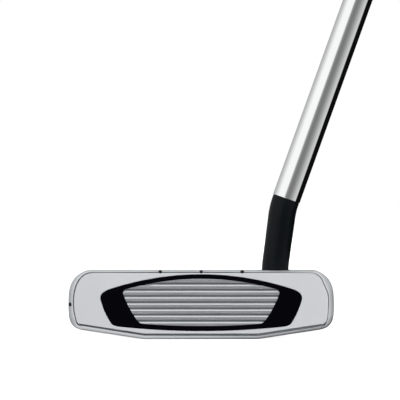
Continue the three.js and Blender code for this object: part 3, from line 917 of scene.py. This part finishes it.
def insert_beam(index):
    top = BEAM_TOP_Z - BEAM_PITCH * index
    above = 1 if index == 0 else 0
    past_window = 32
    left = [Vector((-past_window, FACE_Y - d, z)) for d, z in beam_section(top, above)]
    right = [Vector((past_window, p.y, p.z)) for p in left]
    bar = placed(loft("bar", [left, right]), LEAN)
    window = front_slab("window", [window_outline(0.02)], [(0, -5), (0, 1)])
    return combine(bar, window, "INTERSECT")


finish_piece(insert_body(), "insert_surround", "face_insert_body", "putter", "insert_polymer")
BEAMS = sorted(n for n in frame["nodes"] if n.startswith("face_insert_beam_"))
for number, node in enumerate(BEAMS):
    finish_piece(insert_beam(number), f"beam_{number + 1}", node, "putter", "beam_aluminium", 20)


# ---------- neck, shaft and grip ----------


def ring(centre, direction, radius, sides=64):
    """A circle of points round a direction."""
    across = Vector((0, 1, 0)).cross(direction).normalized()
    up = direction.cross(across).normalized()
    turns = [2 * math.pi * i / sides for i in range(sides)]
    return [centre + across * radius * math.cos(a) + up * radius * math.sin(a) for a in turns]


def bend(corner, before, after, reach, radius, steps=12):
    """Rings round a corner, along a quadratic curve."""
    a, b = corner - before * reach, corner + after * reach
    rings = []
    for i in range(steps + 1):
        t = i / steps
        centre = a.lerp(corner, t).lerp(corner.lerp(b, t), t)
        tangent = ((corner - a) * (1 - t) + (b - corner) * t).normalized()
        rings.append(ring(centre, tangent, radius))
    return rings


NECK_BASE = Vector((NECK_FOOT.x, NECK_FOOT.y, 27.4))
NECK_TOP = SHAFT_FOOT - SHAFT_AXIS * 3.7
NECK_RADIUS = 5.08
SHOULDER_RADIUS = 5.14
SPIGOT_RADIUS = 4.6
SPIGOT_LENGTH = 24


def neck():
    """A bent bar with a rounded shoulder under the shaft and a spigot inside it."""
    up = Vector((0, 0, 1))
    rise = (NECK_TOP - NECK_BASE).normalized()
    rounding, steps = 0.3, 4
    at_foot, at_shaft = 2, 3.2  # how far the bends reach
    rings = [ring(NECK_FOOT, up, NECK_RADIUS)]
    rings += bend(NECK_BASE, up, rise, at_foot, NECK_RADIUS)
    rings += bend(NECK_TOP, rise, SHAFT_AXIS, at_shaft, SHOULDER_RADIUS)
    for i in range(steps + 1):
        a = i / steps * math.pi / 2
        along = rounding * (math.sin(a) - 1)
        radius = SHOULDER_RADIUS - rounding * (1 - math.cos(a))
        rings.append(ring(SHAFT_FOOT + SHAFT_AXIS * along, SHAFT_AXIS, radius))
    rings.append(ring(SHAFT_FOOT, SHAFT_AXIS, SPIGOT_RADIUS))
    rings.append(ring(SHAFT_FOOT + SHAFT_AXIS * SPIGOT_LENGTH, SHAFT_AXIS, SPIGOT_RADIUS))
    return loft("neck", rings)


def shaft_matrix():
    """Z runs up the shaft from its foot, and X points to its underside."""
    turn = Matrix.Rotation(math.atan2(SHAFT_AXIS.x, SHAFT_AXIS.z), 4, "Y")
    turn.translation = SHAFT_FOOT
    return turn


def shaft():
    """A tube with a rounded lower edge: straight at its tip, then tapered, and straight under the grip."""
    tip, butt, wall, start = 5.3, 7.5, 0.5, 0.04
    taper_start, taper_end, steps = 130, 620, 12
    outer = [(tip - 0.22, start), (tip - 0.06, start + 0.06), (tip, start + 0.25), (tip, taper_start)]
    for i in range(1, steps + 1):
        share = i / steps
        outer.append((tip + (butt - tip) * share, taper_start + (taper_end - taper_start) * share))
    outer.append((butt, SHAFT_END))
    inner = [(butt - wall, SHAFT_END), (tip - wall, taper_start), (tip - wall, start)]
    return lathe("shaft", outer + inner, shaft_matrix(), 96)


GRIP_LOW, GRIP_HIGH = span_mm("grip", SHAFT_FOOT, SHAFT_AXIS)
# Share of the grip's length, half width, and distances from the axis to the flat and to the belly.
GRIP_SECTIONS = [
    (0, 8.9, 8.9, 8.9),
    (0.012, 9.7, 9.5, 9.7),
    (0.12, 10.5, 9.7, 10.4),
    (0.35, 11.5, 10, 11.4),
    (0.6, 12.3, 10.3, 12.4),
    (0.76, 12.8, 10.5, 13.4),
    (0.87, 13.3, 10.7, 15.8),
    (0.94, 13.8, 11, 18),
    (0.985, 13.9, 11.1, 18.6),
    (1, 13.2, 10.6, 17.8),
]


def grip_size(t):
    """Half width, flat and belly of the grip at a share of its length, on a line between two sections."""
    for low, high in zip(GRIP_SECTIONS, GRIP_SECTIONS[1:]):
        if t <= high[0]:
            s = (t - low[0]) / (high[0] - low[0])
            return [a + (b - a) * s for a, b in zip(low[1:], high[1:])]
    return GRIP_SECTIONS[-1][1:]


CROSSED_PITCH = 6.0
CROSSED_SLANT = 2.2  # pitches that a crossed groove climbs in a radian
CROSSED_DEPTH = 0.75
RIB_PITCH = 3.4
RIB_DEPTH = 0.6


def hump(value, centre, half_width, power=1):
    """1 at the centre and 0 from the half width on. A high power makes it flat with steep sides."""
    return max(0.0, 1 - (abs(value - centre) / half_width) ** power)


def grip_relief(t, angle):
    """Depth of the moulded pattern: crossed grooves down both sides and short ribs across the flat."""
    length = GRIP_HIGH - GRIP_LOW
    z = t * length
    plain_below, plain_above, fade_length = 16, 30, 6
    fade = min(1, max(0, (z - plain_below) / fade_length))
    fade *= min(1, max(0, (length - plain_above - z) / fade_length))
    side = hump(abs(angle), math.pi * 0.42, 0.62, 6)
    groove = 0.0
    for slant in (1, -1):
        phase = (z / CROSSED_PITCH + slant * angle * CROSSED_SLANT) % 1.0
        groove = max(groove, min(1.0, 1.6 * hump(phase, 0.5, 0.17)))
    thumb = hump(abs(angle), math.pi, 0.42, 6)
    rib = hump((z / RIB_PITCH) % 1.0, 0.5, 0.22)
    return fade * (CROSSED_DEPTH * groove * side + RIB_DEPTH * rib * thumb)


def grip_ring(z, half_width, flat, belly, t=None, sides=112):
    """A D-shaped ring: a flat top (-X) with rounded shoulders, and a round belly (+X)."""
    squareness = 3.2
    out = []
    for i in range(sides):
        angle = 2 * math.pi * i / sides
        if angle > math.pi:
            angle -= 2 * math.pi
        c, s = math.cos(angle), math.sin(angle)
        power = 2 / squareness if c < 0 else 1
        x = math.copysign(abs(c) ** power, c) * (flat if c < 0 else belly)
        y = math.copysign(abs(s) ** power, s) * half_width
        p = Vector((x, y, 0))
        if t is not None:
            p *= 1 - grip_relief(t, angle) / max(p.length, 1)
        out.append(Vector((p.x, p.y, z)))
    return out


def round_ring(like, radius, z):
    """A circle at a height, with its points in the same directions as those of another ring."""
    return [Vector((p.x, p.y, 0)).normalized() * radius + Vector((0, 0, z)) for p in like]


def grip():
    length, rows, bore = GRIP_HIGH - GRIP_LOW, 520, 8.35
    rings = []
    for i in range(rows + 1):
        t = i / rows
        rings.append(grip_ring(GRIP_LOW + t * length, *grip_size(t), t=t))
    rings += [round_ring(rings[0], bore, z) for z in (GRIP_HIGH, GRIP_LOW)]
    return placed(loft("grip", rings, closed=True), shaft_matrix())


def grip_cap():
    """The butt's end cap: a domed plate with a vent hole, and a plug that goes into the shaft."""
    low, high = span_mm("grip_cap", SHAFT_FOOT, SHAFT_AXIS)
    thickness = high - (SHAFT_END + 0.6)
    start = high - thickness
    size = (12.8, 10.2, 17.2)
    straight, steps, shrink, plug_radius = 1.2, 8, 0.2, 6.6
    rings = [grip_ring(start, *size)]
    for i in range(steps + 1):
        a = i / steps * math.pi / 2
        share = 1 - (1 - math.cos(a)) * shrink
        z = start + straight + (thickness - straight) * math.sin(a)
        rings.append(grip_ring(z, *[share * r for r in size]))
    plug = [round_ring(rings[0], plug_radius, z) for z in (low, start)]
    obj = placed(loft("cap", plug + rings), shaft_matrix())
    vent = shaft_matrix() @ Matrix.Translation((0, 0, low - 2))
    mouth = high - low + 1.4
    hole = lathe("vent", [(0, 0), (1, 0), (1, mouth), (1.6, mouth + 0.8), (1.6, 30), (0, 30)], vent, 32)
    return cut(obj, hole)


finish_piece(neck(), "neck_bar", "neck", "putter", "black_steel", 40)
finish_piece(shaft(), "shaft_tube", "shaft", "putter", "chrome_steel", 40)
finish_piece(grip(), "grip_sleeve", "grip", "putter", "grip_rubber", 50)
finish_piece(grip_cap(), "grip_end", "grip_cap", "putter", "grip_rubber", 35)


# ---------- crown, sole and fasteners ----------


def screw_matrix(node, down):
    """A screw's frame: its origin is the middle of the head's top, and its tip is at -Z, which is `down`."""
    low, high = box_mm(node)
    return turned(middle_mm(node) - down * (high.z - low.z) / 2, Vector((0, 0, -1)), down)


def screw(node, down):
    """A countersunk socket screw in the place of its node; `down` points from its head to its tip."""
    low, high = box_mm(node)
    length = high.z - low.z
    tip, stem, head, neck_z = 0.75, 1.05, 1.9, -1.2
    profile = [(0, -length), (tip, -length), (stem, -length + 0.5), (stem, neck_z)]
    profile += [(head, -0.3), (head, -0.1), (head - 0.08, 0), (0, 0)]
    body = lathe("screw", profile, screw_matrix(node, down), 40)
    key, depth, above = 0.95, 0.9, 1
    hexagon = [(0, -depth), (key, -depth), (key, -0.05), (key + 0.15, 0.1), (key + 0.15, above), (0, above)]
    return cut(body, lathe("socket", hexagon, screw_matrix(node, down), 6))


def screw_cutter(node, down):
    """The countersunk hole for a screw."""
    stem, head, neck_z, bottom, above = 1.3, 2.0, -1.2, -9, 3
    profile = [(0, bottom), (stem, bottom), (stem, neck_z), (head, -0.3), (head, 0)]
    profile += [(head + 0.2, 0.2), (head + 0.2, above), (0, above)]
    return lathe("hole", profile, screw_matrix(node, down), 40)


DECK_DOWN = Vector((0, -math.sin(math.atan(DECK_FALL)), -math.cos(math.atan(DECK_FALL))))
SOLE_UP = Vector((0, 0, 1))
CROWN_SCREWS = [f"crown_screw_{i}" for i in range(1, 5)]
SOLE_SCREWS = [f"sole_screw_{i}" for i in range(1, 5)]


def crown_plate():
    """The black plate on the bar and the spine, with a channel for the line and holes for its screws."""
    profile = rounded(-CROWN_THICKNESS, 0, 0.2, steps=3, both=False)
    plate = on_deck(slab("plate", [crown_outline(0.26)], profile))
    low, high = box_mm("sight_line")
    gap = Vector((0.06, 0.06))
    groove = rounded_box(low.xy - gap, high.xy + gap, 0.55)
    channel = on_deck(slab("groove", [groove], [(0, -0.55), (0, 2)]))
    return cut(plate, channel, *[screw_cutter(n, DECK_DOWN) for n in CROWN_SCREWS])


def sight_line():
    """The white line, a little below the plate's top."""
    low, high = box_mm("sight_line")
    profile = rounded(-0.5, -0.03, 0.12, steps=3, both=False)
    return on_deck(slab("line", [rounded_box(low.xy, high.xy, 0.5)], profile))


def sole_plate():
    """The plate that closes the core from below, rounded at its lower edge."""
    low, high = box_mm("sole_plate")
    profile = [(0.2, low.z), (0.06, low.z + 0.06), (0, low.z + 0.2), (0, high.z)]
    plate = slab("plate", [rounded_box(low.xy, high.xy, 2.8)], profile)
    return cut(plate, *[screw_cutter(n, SOLE_UP) for n in SOLE_SCREWS])


finish_piece(crown_plate(), "crown_cover", "crown_plate", "putter", "black_anodised")
finish_piece(sight_line(), "white_line", "sight_line", "putter", "white_enamel")
finish_piece(sole_plate(), "sole_cover", "sole_plate", "putter", "black_anodised")
for screws, down in ((CROWN_SCREWS, DECK_DOWN), (SOLE_SCREWS, SOLE_UP)):
    for node in screws:
        finish_piece(screw(node, down), f"{node}_fine", node, "putter", "plain_steel")


# ---------- sole weights ----------


def sole_weight(place):
    """A screw-in weight: a hexagon socket, a rounded rim and thread turns round its side."""
    low, height, radius = 0.2, 4.8, 6.65
    thread_pitch, thread_depth = 1.0, 0.35
    profile = [(0, low), (radius - 0.5, low), (radius - 0.15, low + 0.15), (radius, low + 0.5)]
    z = low + 1.0
    while z < low + height - 0.8:
        root = radius - thread_depth
        profile += [(radius, z), (root, z + thread_depth), (root, z + 0.5), (radius, z + 0.85)]
        z += thread_pitch
    profile += [(radius - 0.4, low + height), (0, low + height)]
    weight = lathe("weight", profile, port_matrix(place), 72)
    key, lead_in, outside, bottom = 2.6, 0.25, -2, low + 2.4
    hexagon = [(0, outside), (key + lead_in, outside), (key + lead_in, low - 0.02)]
    hexagon += [(key, low + lead_in), (key, bottom), (0, bottom)]
    return cut(weight, lathe("socket", hexagon, port_matrix(place), 6))


def weight_seal(place):
    """A washer with rounded inner and outer sides."""
    low, high, inner, outer = 5.2, 6.0, 4.4, 6.5
    middle, radius = (low + high) / 2, (high - low) / 2
    flat, centre, points = (outer - inner) / 2 - radius, (inner + outer) / 2, 24
    profile = []
    for i in range(points):
        a = 2 * math.pi * i / points
        side = flat if math.cos(a) > 0 else -flat
        profile.append((centre + side + radius * math.cos(a), middle + radius * math.sin(a)))
    return lathe("seal", profile, port_matrix(place), 64)


for place in ("toe", "heel"):
    weight, seal = sole_weight(place), weight_seal(place)
    finish_piece(weight, f"{place}_weight_fine", f"{place}_sole_weight", f"{place}_weight", "plain_steel")
    finish_piece(seal, f"{place}_seal_fine", f"{place}_weight_seal", f"{place}_seal", "seal_rubber", 50)


# ---------- sight dots and plug ----------


def dot(node, axis):
    """A little enamelled pin with a domed end, in the place of its node."""
    middle = middle_mm(node)
    low, high = span_mm(node, middle, axis)
    radius, dome, longest, steps = 0.72, 0.25, 0.8, 6
    low = max(low, high - longest)
    profile = [(0, low), (radius, low)]
    for i in range(steps):
        a = i / steps * math.pi / 2
        profile.append((radius * math.cos(a), high - dome + dome * math.sin(a)))
    profile.append((0, high))
    return lathe("dot", profile, turned(middle, Vector((0, 0, 1)), axis), 32)


DOT_AXIS = Vector((0, -1, 1)).normalized()
PLUG_AXIS = Vector((-0.77, -0.64, 0)).normalized()
for place in ("toe", "centre", "heel"):
    node = f"sight_dot_{place}"
    finish_piece(dot(node, DOT_AXIS), f"dot_{place}", node, "putter", "black_enamel", 50)
finish_piece(dot("toe_port_plug", PLUG_AXIS), "toe_plug", "toe_port_plug", "putter", "black_enamel", 50)


# ---------- what stays as the frame has it ----------

slot_of = {s["node"]: s["material_slot"] for s in frame["record"]["subparts"]}
for name, obj in frame["nodes"].items():
    obj.data.materials.clear()
    obj.data.materials.append(SLOT_LOOKS[slot_of[name]])


# ---------- studio ----------

FLOOR_Z = -0.05
FLOOR_HALF = 6000


def floor():
    """A pale floor. It lies a hair under the sole, so that the two don't flicker into each other."""
    corners = ((-1, -1), (1, -1), (1, 1), (-1, 1))
    points = [Vector((x * FLOOR_HALF, y * FLOOR_HALF, FLOOR_Z)) for x, y in corners]
    plane = make("floor", points, [(0, 1, 2, 3)])
    look = Look("pale_floor", (0.9, 0.9, 0.9), 0.9, Emission_Color=(1, 1, 1, 1), Emission_Strength=0.88)
    look.vary_color(look.noise(3, 2), 0.004)
    look.clear_from_behind()
    plane.data.materials.append(look.material)
    plane.visible_glossy = False
    plane.visible_diffuse = False


def at_angle(degrees):
    """Where an angle to the right of straight in front of the face falls on a 0 to 1 turn."""
    return 0.5 + degrees / 360


# The brightness that reflections find, as (place, level). Round the object: a half light behind on the left,
# a white softbox in front on the left, a dim gap straight in front, a grey softbox on the right and darkness
# behind it.
AROUND = [
    (0.0, 0.35),
    (at_angle(-118), 0.58),
    (at_angle(-98), 0.76),
    (at_angle(-70), 1.0),
    (at_angle(-24), 1.0),
    (at_angle(-12), 0.27),
    (at_angle(6), 0.19),
    (at_angle(25), 0.26),
    (at_angle(52), 0.5),
    (at_angle(66), 0.61),
    (at_angle(80), 0.62),
    (at_angle(84), 0.004),
    (at_angle(178), 0.004),
]
# Steeply below, also round the object.
BELOW = [(0.0, 0.3), (at_angle(-10), 0.05), (at_angle(15), 0.05), (1.0, 0.04)]
# How much a height from 0 (straight down) to 1 (straight up) belongs to the ceiling, or to what is below.
UP = [(0.72, 0), (0.9, 1)]
DOWN = [(0.1, 1), (0.3, 0)]
TOP_LEVEL = 0.95
# Diffuse light comes evenly from all sides, so that the lamps shade the object.
SOFT_LEVEL = 0.16


def world():
    """A white studio to the camera, with a different brightness in each direction for reflections."""
    studio = bpy.data.worlds.new("studio")
    studio.use_nodes = True
    SCENE.world = studio
    nodes, links = studio.node_tree.nodes, studio.node_tree.links
    nodes.clear()

    def feed(sockets, values):
        for socket, value in zip(sockets, values):
            if isinstance(value, (int, float)):
                socket.default_value = value
            else:
                links.new(value, socket)

    def math_node(operation, a, b=0.0):
        node = nodes.new("ShaderNodeMath")
        node.operation = operation
        feed(node.inputs, (a, b))
        return node.outputs[0]

    def ramp(value, stops):
        node = nodes.new("ShaderNodeValToRGB")
        elements = node.color_ramp.elements
        while len(elements) < len(stops):
            elements.new(0.5)
        for element, (at, level) in zip(elements, stops):
            element.position = at
            element.color = (level, level, level, 1)
        links.new(value, node.inputs[0])
        return node.outputs[0]

    def mix(factor, a, b):
        node = nodes.new("ShaderNodeMix")
        node.data_type = "FLOAT"
        feed((node.inputs[0], node.inputs[2], node.inputs[3]), (factor, a, b))
        return node.outputs[0]

    place = nodes.new("ShaderNodeTexCoord")
    direction = nodes.new("ShaderNodeSeparateXYZ")
    links.new(place.outputs["Generated"], direction.inputs[0])
    x, y, z = direction.outputs
    azimuth = math_node("ARCTAN2", x, math_node("MULTIPLY", y, -1))
    turn = math_node("ADD", math_node("DIVIDE", azimuth, 2 * math.pi), 0.5)
    height = math_node("DIVIDE", math_node("ADD", z, 1), 2)
    level = mix(ramp(height, UP), ramp(turn, AROUND), TOP_LEVEL)
    level = mix(ramp(height, DOWN), level, ramp(turn, BELOW))
    path = nodes.new("ShaderNodeLightPath")
    level = mix(path.outputs["Is Diffuse Ray"], level, SOFT_LEVEL)
    seen = mix(path.outputs["Is Camera Ray"], level, 1.0)
    background = nodes.new("ShaderNodeBackground")
    output = nodes.new("ShaderNodeOutputWorld")
    links.new(seen, background.inputs["Color"])
    links.new(background.outputs[0], output.inputs[0])


def camera():
    """Square to the face, at the height of the middle of what is seen."""
    seen_mm, centre_x, centre_z = 150, -0.45, 52.35
    data = bpy.data.cameras.new("camera")
    data.lens = 200
    data.sensor_width = 36
    distance = seen_mm / 2 / (data.sensor_width / 2 / data.lens)
    obj = bpy.data.objects.new("camera", data)
    SCENE.collection.objects.link(obj)
    obj.location = Vector((centre_x, FACE_Y - distance, centre_z)) * MM
    obj.rotation_euler = (math.pi / 2, 0, 0)
    SCENE.camera = obj


def lamp(name, place, target, size, power):
    """A round lamp that lights the object and isn't seen, nor reflected."""
    data = bpy.data.lights.new(name, "AREA")
    data.shape = "DISK"
    data.size = size
    data.energy = power
    obj = bpy.data.objects.new(name, data)
    SCENE.collection.objects.link(obj)
    obj.location = place
    obj.rotation_mode = "QUATERNION"
    obj.rotation_quaternion = (Vector(target) - Vector(place)).to_track_quat("-Z", "Y")
    obj.visible_camera = False
    obj.visible_glossy = False


floor()
world()
camera()
lamp("key", (0.15, -1.9, 0.75), (0, 0, 0.02), 1.2, 34)
lamp("overhead", (-0.2, 0.3, 2.2), (0, 0, 0.1), 1.6, 7)
lamp("back", (0.3, 2.0, 1.2), (0, 0, 0.1), 1.2, 12)
SCENE.view_settings.view_transform = "Standard"
